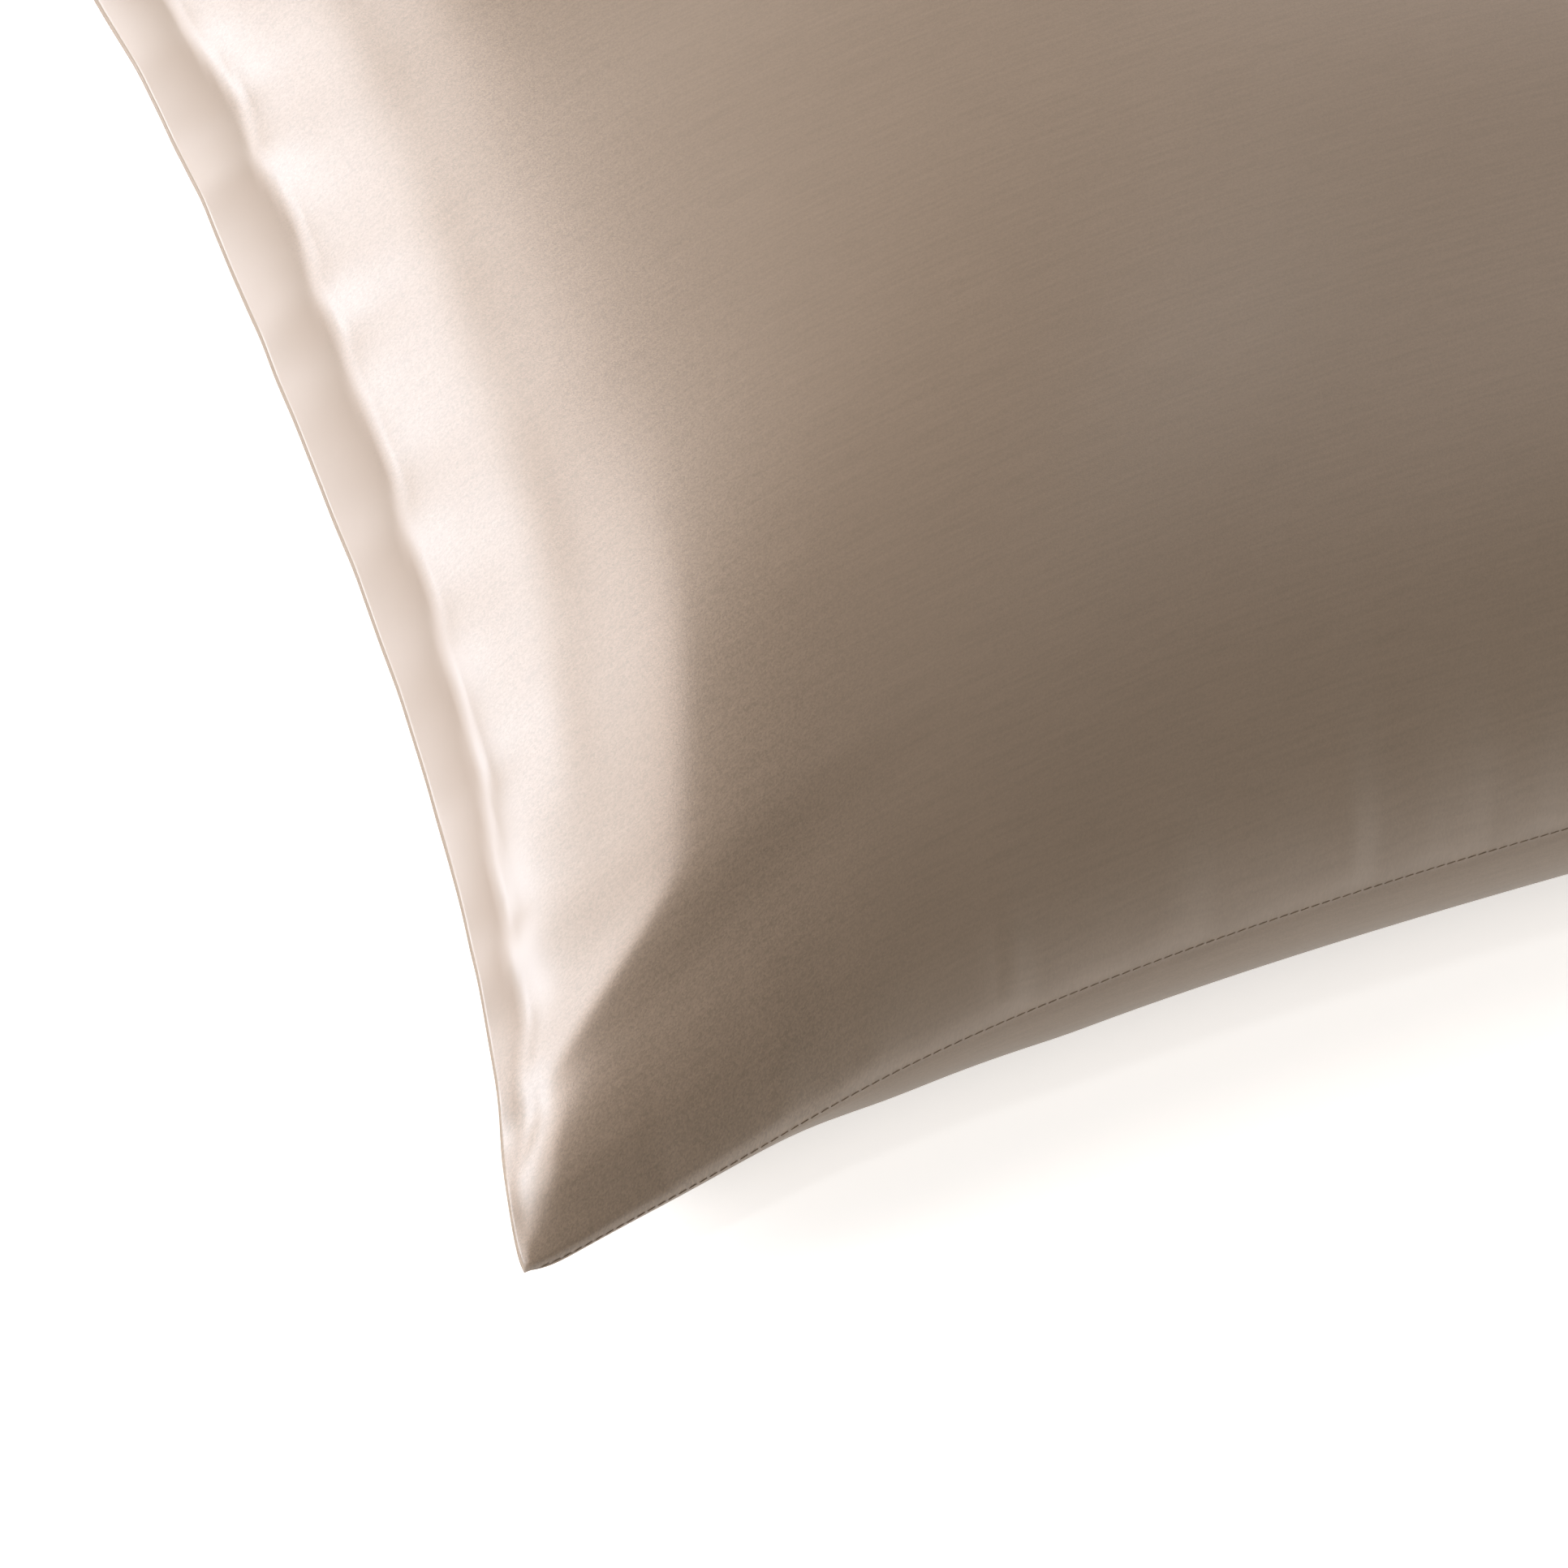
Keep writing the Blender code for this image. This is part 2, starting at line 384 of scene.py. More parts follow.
def crease_rise(from_ridge, across):
    """Height of the crease that runs from each corner tip of the open end up the flank."""
    tip = from_side(across)
    run = smooth_rise(tip, *CREASE_RUN)
    crest = mix(*CREASE_FROM_RIDGE, run) + CREASE_DRIFT * np.maximum(tip - CREASE_RUN[1], 0.0)
    width = mix(*CREASE_WIDTHS, run)
    rise = width * mix(*CREASE_STEEPNESS, run) * smooth_rise(tip, *CREASE_LEAVES_TIP)
    rise = rise * (1.0 - smooth_rise(tip, *CREASE_FADES))
    rise = rise * smooth_rise(from_ridge, 0.0, CREASE_FOOT)
    width = np.where(from_ridge < crest, width, mix(*CREASE_FAR_WIDTHS, run))
    return rise * bell(from_ridge - crest, width)


def foot_rise(from_ridge, across):
    """Near the corners the cloth starts up from the ridge more steeply, and soon eases off."""
    tip = from_side(across)
    run = smooth_rise(tip, *CREASE_RUN)
    reach = mix(*FOOT_REACHES, run)
    steepness = mix(*FOOT_STEEPNESS, run) * smooth_rise(tip, *CREASE_LEAVES_TIP)
    steepness = steepness * (1.0 - smooth_rise(tip, *FOOT_FADES))
    rise = steepness * reach * (1.0 - np.exp(-from_ridge / reach))
    return rise * np.exp(-from_ridge / FOOT_RECOVERY)


def edge_dip(along, across):
    """How far the turned edge of the open end dips below its even curve."""
    dip = 0.0 * along * across
    for at, half_length, reach, deep in EDGE_DIPS:
        dip = dip + deep * bell(across * WIDTH - at, half_length) * np.exp(-along * LENGTH / reach)
    return dip


print("corner crease:", round(CREASE_WIDTHS[1] * CREASE_STEEPNESS[1] / MM, 1), "mm high at most")


# %% [markdown]
# ## The sewn sides
#
# Each long side is a plain seam. The seam is a little shorter than the cloth that it joins, so
# it gathers it into puckers, which fade out a few centimetres up the front. They are a list too,
# in which a depth with a minus is a small raised gather. The rear side takes the same list from
# its other end, so that the sides differ.

# %% Puckers
SIDE_PUCKERS = (
    # at,    reach,  depth,    width
    (0.040, 0.010, +0.0010, 0.0045),
    (0.072, 0.011, -0.0012, 0.0045),
    (0.084, 0.012, +0.0014, 0.0050),
    (0.098, 0.011, -0.0014, 0.0040),
    (0.112, 0.013, +0.0010, 0.0050),
    (0.137, 0.015, -0.0026, 0.0045),
    (0.148, 0.014, +0.0017, 0.0055),
    (0.181, 0.014, -0.0015, 0.0055),
    (0.197, 0.014, +0.0026, 0.0055),
    (0.234, 0.015, -0.0027, 0.0050),
    (0.243, 0.015, +0.0020, 0.0050),
    (0.255, 0.013, -0.0015, 0.0045),
    (0.276, 0.015, +0.0027, 0.0055),
    (0.287, 0.013, -0.0017, 0.0045),
    (0.330, 0.018, +0.0024, 0.0070),
    (0.372, 0.016, -0.0017, 0.0060),
    (0.415, 0.018, +0.0022, 0.0070),
    (0.452, 0.016, -0.0015, 0.0060),
    (0.500, 0.018, +0.0020, 0.0070),
    (0.548, 0.016, -0.0017, 0.0060),
    (0.588, 0.016, +0.0020, 0.0065),
    (0.640, 0.014, +0.0015, 0.0060),
    (0.690, 0.012, -0.0012, 0.0050),
)


def pucker_depth(along, across):
    """How far the gathers along both long sides draw the cloth down."""
    place = along * LENGTH
    depth = 0.0 * along * across
    for at, reach, deep, width in SIDE_PUCKERS:
        from_front = across * WIDTH
        from_rear = (1.0 - across) * WIDTH
        depth = depth + deep * bell(place - at, width) * np.exp(-from_front / reach)
        depth = depth + deep * bell(LENGTH - place - at, width) * np.exp(-from_rear / reach)
    return depth


print(len(SIDE_PUCKERS), "puckers and gathers on each long side")


# %% [markdown]
# ## The heights of the two panels
#
# The edge stands clear of the table: lowest at the corner tips, higher at the middle of each
# side, where the pillow props it up. The two layers of cloth meet there, rolled over a little.
# The open end is different, because there the layers lie apart as two thin lips.

# %% Height and thickness of the edge
TIP_HEIGHT = 0.020
END_MIDDLE_HEIGHT = 0.045
SIDE_MIDDLE_HEIGHT = 0.048
EDGE_HEIGHT_POWER = 3.0
EDGE_ROUNDING = 2.2 * MM
FOLD_ROUNDING = 0.3 * MM
LIP_SHARE = 0.75
SLIT_CLOSES = 8 * MM
SLIT_LEFT = 0.05


def edge_level(along, across):
    """Height of the edge all round, carried on over the middle as a smooth level."""
    end_rise = (END_MIDDLE_HEIGHT - TIP_HEIGHT) * arch(across, EDGE_HEIGHT_POWER)
    side_rise = (SIDE_MIDDLE_HEIGHT - TIP_HEIGHT) * arch(along, EDGE_HEIGHT_POWER)
    return TIP_HEIGHT + end_rise + side_rise - droop(along, across) - edge_dip(along, across)


def roll(distance, radius):
    """A quarter round: 0 at the edge itself, 1 from the radius on."""
    inward = np.clip(distance / radius, 0.0, 1.0)
    return np.sqrt(1.0 - (1.0 - inward) ** 2)


def slit_share(across):
    """The open end is a slit between the layers. It closes at the two sewn sides."""
    return mix(SLIT_LEFT, 1.0, smooth_rise(from_side(across), 0.0, SLIT_CLOSES))


def band_cloth(along, across):
    """Half the thickness of the layers of cloth, rolled over at the edge they share.

    At the open end each layer has a thin round edge of its own, out from the slit.
    """
    open_edge = mix(slit_share(across) * LIP_SHARE, 1.0, roll(from_end(along), FOLD_ROUNDING))
    closed_edge = roll(from_end(along), EDGE_ROUNDING)
    end_roll = np.where(along < 0.5, open_edge, closed_edge)
    return BAND_THICKNESS / 2 * roll(from_side(across), EDGE_ROUNDING) * end_roll


print("edge at the middle of the front side:",
      round(float(edge_level(MIDDLE, FRONT_SIDE)) / MM, 1), "mm high")


# %% [markdown]
# The front rises from the edge as a crown that is steep at the edge and nearly flat on top. A
# single curve for this looks like an egg. So the crown is the product of two arches, one along
# and one across. The lumps, soft folds and puckers are added to it and fade out where it is low.
# The corner crease is added in full, because it starts where the crown is low.

# %% The front panel
CROWN_HEIGHT = 0.090
CROWN_FLATNESS = 2.3
CROWN_FULLNESS = 0.60
RIDGE_SOFTNESS = 16 * MM
RIDGE_RECOVERY = 130 * MM
RELIEF_NEEDS_RISE = 8 * MM
PUCKER_NEEDS_RISE = 3 * MM
SEAM_PULL = 0.3 * MM
SEAM_PULL_WIDTH = 0.9 * MM
SEAM_PULL_WHOLE = 6 * MM


def crown(share):
    """Rise of the crown from one edge, over the middle, to the other edge."""
    return np.maximum(arch(share, CROWN_FLATNESS), 0.0) ** CROWN_FULLNESS


def body_share(along, across):
    """Share of the way along the filled part, from the ridge to the closed end."""
    band = band_width(along, across) / LENGTH
    return np.clip((along - band) / (1.0 - band), 0.0, 1.0)


def eased_crown(body):
    """The crown along the case. At the ridge it starts on a slope instead of upright."""
    start = RIDGE_SOFTNESS / LENGTH
    shifted = mix(start, 1.0, body)
    lost = crown(np.array(start)) * np.exp(-body * LENGTH / RIDGE_RECOVERY)
    return crown(shifted) - lost


def front_height(along, across):
    body = body_share(along, across)
    rise = CROWN_HEIGHT * eased_crown(body) * crown(across)
    from_ridge = body * LENGTH
    relief = lump_rise(from_ridge, across) + fold_rise(from_ridge, across)
    relief = relief * np.minimum(rise / RELIEF_NEEDS_RISE, 1.0)
    gathers = pucker_depth(along, across) * np.minimum(rise / PUCKER_NEEDS_RISE, 1.0)
    relief = relief - gathers + crease_rise(from_ridge, across) + foot_rise(from_ridge, across)
    return edge_level(along, across) + band_cloth(along, across) + rise + relief


def seam_pull(along, across, y):
    """The seam draws the edge of the cloth in, as a fine groove between the two panels."""
    pull = SEAM_PULL * bell(from_side(across), SEAM_PULL_WIDTH)
    pull = pull * smooth_rise(from_end(along), 0.0, SEAM_PULL_WHOLE)
    return np.where(across < 0.5, y + pull, y - pull)


def front_points(along, across):
    x, y = plan(along, across)
    return x, seam_pull(along, across, y), front_height(along, across)


print("top of the crown:", round(float(front_height(MIDDLE, MIDDLE)) / MM, 1), "mm high")


# %% [markdown]
# The back turns under and comes to the flat patch that the case lies on. Its lines follow an arc
# in section. The arc bulges out below the seam along the middle of each long side, where the
# pillow is full, and slopes straight in near the corners, where it is empty.

# %% The back panel
SIDE_TURN = 0.034
END_TURN = 0.052
TURN_LENGTH = 1.30
SIDE_LEAN = math.radians(22)
CORNER_LEAN = math.radians(-28)
CORNER_LEAN_WHOLE = 0.030
SIDE_LEAN_STARTS = 0.052
SIDE_LEAN_WHOLE = 0.165
CORNER_BULGE = (math.radians(17), 100 * MM, 30 * MM)
SIDE_TURN_WHOLE = 30 * MM


def turn_under(from_edge, lean, reach):
    """Distance in from the edge, and share of the way down, where the cloth turns under."""
    whole = reach * TURN_LENGTH
    angle = mix(lean, -math.pi / 2, np.clip(from_edge / whole, 0.0, 1.0))
    inward = reach * (np.cos(lean) - np.cos(angle))
    down = (np.sin(lean) - np.sin(angle)) / (1.0 + np.sin(lean))
    return inward, down


def turned_share(share, size, lean, reach):
    """The share of a side where a line of the back lies, and how far it has turned down."""
    whole = reach * TURN_LENGTH
    from_edge = np.minimum(share, 1.0 - share) * size
    inward, down = turn_under(from_edge, lean, reach)
    whole_inward = reach * np.cos(lean)
    beyond = np.maximum(from_edge - whole, 0.0)
    spread = (size / 2 - whole_inward) / (size / 2 - whole)
    place = (inward + beyond * spread) / size
    return np.where(share <= 0.5, place, 1.0 - place), down


def side_lean(along):
    """The long sides bulge out below the seam, and slope straight in near the corners."""
    from_corner = from_end(along)
    corner = CORNER_LEAN * smooth_rise(from_corner, 0.0, CORNER_LEAN_WHOLE)
    lean = mix(corner, SIDE_LEAN, smooth_rise(from_corner, SIDE_LEAN_STARTS, SIDE_LEAN_WHOLE))
    return lean + fullness(from_corner, *CORNER_BULGE)


def back_points(along, across):
    """The back turns under at the sides and at the closed end.

    Right at the ends it lies along the front, so that the corners stay closed.
    """
    band = plain_band_width(across) / LENGTH
    body = np.clip((along - band) / (1.0 - band), 0.0, 1.0)
    turned_body, end_down = turned_share(body, LENGTH, 0.0, END_TURN)
    turned_along = np.where(along > band, mix(band, 1.0, turned_body), along)
    turned_across, side_down = turned_share(across, WIDTH, side_lean(turned_along), SIDE_TURN)
    turned_across = mix(across, turned_across, smooth_rise(from_end(along), 0.0, SIDE_TURN_WHOLE))
    x, y = plan(turned_along, turned_across)
    level = edge_level(turned_along, across) - band_cloth(along, across)
    return x, seam_pull(along, across, y), level * (1.0 - end_down * side_down)


print("lowest point of the back:", round(float(back_points(MIDDLE, MIDDLE)[2]) / MM, 1), "mm")


# %% [markdown]
# ## The slit at the open end
#
# At the open end the front cloth folds in over the pillow, and the back cloth stops in a hem just
# behind that fold. From above only the fold shows, but from the end there is a fine dark slit
# between the two. It could be a painted line. A real slit a few millimetres deep costs only a
# few more lines of points, and it takes its shade from the light, so it is modelled.

# %% The slit
SLIT_DEPTH = 5 * MM
SLIT_GAP = 0.5 * MM
SLIT_FLARE = 2.5 * MM
SLIT_CLOSING_POWER = 4
SLIT_STEPS = 6
SLIT_LINES = SLIT_DEPTH * (np.arange(SLIT_STEPS, 0, -1) / SLIT_STEPS) ** 2


def slit_points(depth, across, side):
    """Inner face of the fold (side 1) or of the hem (side -1), this deep in the slit."""
    share = slit_share(across)
    along = depth * share / LENGTH
    x, y = plan(along, across)
    closing = np.sqrt(1.0 - (depth / SLIT_DEPTH) ** SLIT_CLOSING_POWER)
    gap_share = SLIT_GAP / BAND_THICKNESS * closing
    half = mix(LIP_SHARE, gap_share, roll(depth, SLIT_FLARE)) * share
    half = BAND_THICKNESS / 2 * half * roll(from_side(across), EDGE_ROUNDING)
    return x, seam_pull(along, across, y), edge_level(along, across) + side * half


print("lines of points in the slit, in mm deep:", np.round(SLIT_LINES / MM, 2))


# %% [markdown]
# ## The cloth as one closed skin
#
# The two panels share their outer line of points, so the skin is closed, as the filled case is.
# Each point also carries its place on the flat cut cloth, as a UV map. The weave is drawn on
# that map later, so its threads run with the cloth wherever it bends.

# %% Build the skin
CUT_LENGTH = 0.760
CUT_WIDTH = 0.510


def panel_points(outside, side):
    """A panel as a grid of points: its face in the slit, deepest line first, then its outside."""
    depth, across = np.meshgrid(SLIT_LINES, ACROSS_LINES, indexing="ij")
    inner = np.stack(slit_points(depth, across, side), axis=-1)
    along, across = np.meshgrid(ALONG_LINES, ACROSS_LINES, indexing="ij")
    outer = np.stack(outside(along, across), axis=-1)
    return np.concatenate([inner, outer])


def skin_arrays():
    """Points of the front grid and then the back grid, its faces, and their flat places."""
    front = panel_points(front_points, 1.0)
    back = panel_points(back_points, -1.0)
    along, across = np.meshgrid(
        np.concatenate([-SLIT_LINES / LENGTH, ALONG_LINES]), ACROSS_LINES, indexing="ij"
    )
    columns, rows = along.shape
    front_index = np.arange(columns * rows).reshape(columns, rows)
    back_index = front_index.copy()
    inner = (columns - 2) * (rows - 2)
    back_index[1:-1, 1:-1] = columns * rows + np.arange(inner).reshape(columns - 2, rows - 2)
    points = np.concatenate([front.reshape(-1, 3), back[1:-1, 1:-1].reshape(-1, 3)])

    def quads(index):
        corners = (index[:-1, :-1], index[1:, :-1], index[1:, 1:], index[:-1, 1:])
        return np.stack([corner.ravel() for corner in corners], axis=-1)

    faces = np.concatenate([quads(front_index), quads(back_index)[:, ::-1]])
    flat = np.stack([along * CUT_LENGTH, across * CUT_WIDTH], axis=-1).reshape(-1, 2)
    grid = np.arange(columns * rows).reshape(columns, rows)
    corners = np.concatenate([quads(grid), quads(grid)[:, ::-1]])
    return points, faces, flat[corners.ravel()]


def add_piece(name, points, faces):
    """A smooth mesh and its object, from an array of points and lists of corners."""
    data = bpy.data.meshes.new(name)
    data.from_pydata(points.tolist(), [], faces)
    data.update()
    data.shade_smooth()
    piece = bpy.data.objects.new(name, data)
    bpy.context.scene.collection.objects.link(piece)
    return piece


def build_skin():
    points, faces, flat = skin_arrays()
    skin = add_piece("satin_case", points, faces.tolist())
    uv_map = skin.data.uv_layers.new(name="cut_cloth")
    uv_map.data.foreach_set("uv", flat.astype(np.float32).ravel())
    return skin


skin = build_skin()
print("skin:", len(skin.data.vertices), "points,", len(skin.data.polygons), "faces")


# %% [markdown]
# ## The stitches of the sewn sides
#
# The sides are sewn with stitches three millimetres apart. The pillow pulls the seam open a
# little, so the thread shows in the groove as a line of short dashes. A dashed line in the
# material would do from afar. From near the dashes have ends and shadows, so one stitch is
# modelled, a short rod with narrowed ends, and copied along each seam as one joined mesh.

# %% One stitch
STITCH_PITCH = 3.0 * MM
STITCH_LENGTH = 2.3 * MM
STITCH_THICKNESS = 0.26 * MM
STITCH_SIDES = 8
STITCH_TIP_LENGTH = 0.25 * MM
STITCH_TIP_SHARE = 0.5
FACES_THE_END = 0.9


def model_stitch():
    """One stitch that lies along X, as its points and faces."""
    deselect_all()
    bpy.ops.mesh.primitive_cylinder_add(
        vertices=STITCH_SIDES, radius=STITCH_THICKNESS / 2,
        depth=STITCH_LENGTH - 2 * STITCH_TIP_LENGTH, rotation=(0.0, math.pi / 2, 0.0),
    )
    bpy.ops.object.transform_apply(location=False, rotation=True, scale=False)
    stitch = bpy.context.object
    for end in (-1, 1):
        bpy.ops.object.mode_set(mode="EDIT")
        bpy.ops.mesh.select_all(action="DESELECT")
        bpy.ops.object.mode_set(mode="OBJECT")
        for face in stitch.data.polygons:
            face.select = face.normal.x * end > FACES_THE_END
        bpy.ops.object.mode_set(mode="EDIT")
        bpy.ops.mesh.extrude_region_move(
            TRANSFORM_OT_translate={"value": (end * STITCH_TIP_LENGTH, 0.0, 0.0)}
        )
        bpy.ops.transform.resize(value=(1.0, STITCH_TIP_SHARE, STITCH_TIP_SHARE))
        bpy.ops.object.mode_set(mode="OBJECT")
    points = np.array([vertex.co for vertex in stitch.data.vertices])
    faces = [list(face.vertices) for face in stitch.data.polygons]
    bpy.data.objects.remove(stitch)
    return points, faces


STITCH_POINTS, STITCH_FACES = model_stitch()
print("one stitch:", len(STITCH_POINTS), "points,", len(STITCH_FACES), "faces")


# %% [markdown]
# The copies need places that are evenly spaced along the real seam, which curves in plan and in
# height. The seam is followed in fine steps, its length is added up, and the stitches are read
# off that length like marks on a tape measure.

# %% Stitches along a line
SEAM_STEPS = 4000
STITCH_SLANT = math.radians(7)
STITCH_LIFT = 0.12 * MM
FIRST_STITCH = 6 * MM


def even_places(line, pitch, start):
    """Places along a line of points, evenly spaced, and the direction of the line at each."""
    steps = np.linalg.norm(np.diff(line, axis=0), axis=1)
    length = np.concatenate([[0.0], np.cumsum(steps)])
    marks = np.arange(start, length[-1] - start, pitch)
    places = np.stack([np.interp(marks, length, line[:, axis]) for axis in range(3)], axis=-1)
    slope = np.gradient(line, length, axis=0)
    ways = np.stack([np.interp(marks, length, slope[:, axis]) for axis in range(3)], axis=-1)
    return places, ways / np.linalg.norm(ways, axis=1, keepdims=True)


def sew(name, line, outward):
    """A row of stitches along a line, each lying in the cloth whose outward side is given."""
    places, ways = even_places(line, STITCH_PITCH, FIRST_STITCH)
    sides = np.cross(outward, ways)
    sides /= np.linalg.norm(sides, axis=1, keepdims=True)
    ups = np.cross(ways, sides)
    leaned = ways * math.cos(STITCH_SLANT) + sides * math.sin(STITCH_SLANT)
    across = sides * math.cos(STITCH_SLANT) - ways * math.sin(STITCH_SLANT)
    frames = np.stack([leaned, across, ups], axis=1)
    points = np.einsum("pa,sab->spb", STITCH_POINTS, frames)
    points += (places + ups * STITCH_LIFT)[:, None, :]
    count = len(STITCH_POINTS)
    faces = []
    for first in range(0, count * len(places), count):
        faces += [[index + first for index in face] for face in STITCH_FACES]
    row = add_piece(name, points.reshape(-1, 3), faces)
    print(name, "has", len(places), "stitches")
    return row


def seam_line(across):
    along = np.linspace(0.0, 1.0, SEAM_STEPS)
    return np.stack(front_points(along, np.full_like(along, across)), axis=-1)


stitch_rows = [
    sew("front_side_stitches", seam_line(0.0), (0.0, -1.0, 0.0)),
    sew("rear_side_stitches", seam_line(1.0), (0.0, 1.0, 0.0)),
]


# %% [markdown]
# ## Colours and nodes
#
# Satin and thread are built from nodes. One small function adds a node with its settings, so
# that the materials below read as lists of what they are made of. Colours are written as hex, as
# they are seen, and turned into the linear values that light is counted in.

# %% Colours and nodes
def linear_colour(code):
    """A colour written as sRGB hex, as the linear values that shaders take.

    The numbers of the curve are those of the sRGB standard.
    """
    linear = []
    for start in (1, 3, 5):
        value = int(code[start:start + 2], 16) / 255
        linear.append(value / 12.92 if value <= 0.04045 else ((value + 0.055) / 1.055) ** 2.4)
    return tuple(linear) + (1.0,)


def add_node(tree, kind, links=(), **settings):
    """One node: its settings, its input values by name or number, and what feeds its inputs."""
    node = tree.nodes.new(kind)
    values = settings.pop("values", {})
    for name, value in settings.items():
        setattr(node, name, value)
    for name, value in values.items():
        node.inputs[name].default_value = value
    for name, source in links:
        tree.links.new(source, node.inputs[name])
    return node


def new_material(name):
    material = bpy.data.materials.new(name)
    material.use_nodes = True
    tree = material.node_tree
    return material, tree, tree.nodes["Principled BSDF"]


print("middle grey is", round(linear_colour("#808080")[0], 2), "of full light")


# %% [markdown]
# ## Satin
#
# Satin is woven so that each thread floats over several others before it dips under one. The
# long floats lie side by side like combed hair, so the gloss is drawn out across them and sharp
# along them. The material is a beige surface with such a stretched gloss, fine streaks along the
# floats, and a grain of tiny glints. The glints are partly a fine bump and partly painted glints:
# light and dark specks painted into the colour in place of the sparkle of the floats. One thread
# is only about a tenth of a millimetre thick. What the eye gets from a step away are glints of a
# little less than half a millimetre and streaks about a millimetre wide, so they are drawn at that
# size.

# %% Patterns of the weave
GLINT_LENGTH = 0.44 * MM
GLINT_WIDTH = 0.36 * MM
STREAK_LENGTH = 22 * MM
STREAK_WIDTH = 1.1 * MM
PATTERN_MIDDLE = 0.5


def along_weave(tree, place, length, width):
    """The place on the flat cloth, counted in grains of this length and width."""
    return add_node(
        tree, "ShaderNodeMapping", [("Vector", place.outputs[0])],
        values={"Scale": (1 / length, 1 / width, 1.0)},
    )


def fade(tree, value, start, whole, low=0.0, high=1.0):
    """A soft step from low to high while a value goes from start to whole."""
    return add_node(
        tree, "ShaderNodeMapRange", [("Value", value)], interpolation_type="SMOOTHSTEP",
        values={"From Min": start, "From Max": whole, "To Min": low, "To Max": high},
    )


def add_pattern(tree, pattern, contrast, onto):
    """A pattern that swings about one half, added with this contrast to what is there."""
    swing = add_node(
        tree, "ShaderNodeMath", [(0, pattern)], operation="SUBTRACT", values={1: PATTERN_MIDDLE},
    )
    return add_node(
        tree, "ShaderNodeMath", [(0, swing.outputs[0]), (1, contrast)] + onto,
        operation="MULTIPLY_ADD", values={2: PATTERN_MIDDLE},
    )


print("glints across the cut cloth:", round(CUT_WIDTH / GLINT_WIDTH))


# %% [markdown]
# The painted glints are strong on the left flank and weaker on top, as painted highlight: the
# window lights the flank, where real sparkle would be brightest. The streaks and the bump are
# even.
# The empty band is stretched flat and shows no grain, except near the front corner, where the
# cloth is slack. The gloss is stretched with the anisotropic setting and a tangent that follows
# the flat cloth. Real floats modelled as hairs would do the same, at many millions of faces.

# %% Satin
# The satin's colour swings between these two with the streaks of the weave, and with painted
# glints: light and dark specks painted in for floats that catch or miss the light.
SATIN_STREAK_AND_PAINTED_SHADE_HEX = "#75695b"
SATIN_STREAK_AND_PAINTED_GLINT_HEX = "#8c7d6d"
GLINT_HEIGHT = 0.026 * MM
GLINT_DETAIL = 2.0
# Contrast of the painted glints: full on the lit left flank and about a third of that on top, as
# painted highlight.
PAINTED_GLINT_CONTRAST = (1.0, 0.35)
PAINTED_GLINTS_FADE = (70 * MM, 130 * MM)
STREAK_DETAIL = 3.0
STREAK_CONTRAST = 0.5
GRAIN_STARTS = 13 * MM
GRAIN_WHOLE = 22 * MM
CORNER_GRAIN = (45 * MM, 80 * MM)
SATIN_ROUGHNESS = 0.36
SATIN_IOR = 1.6
GLOSS_STRETCH = 0.75
GLOSS_TURN = 0.25


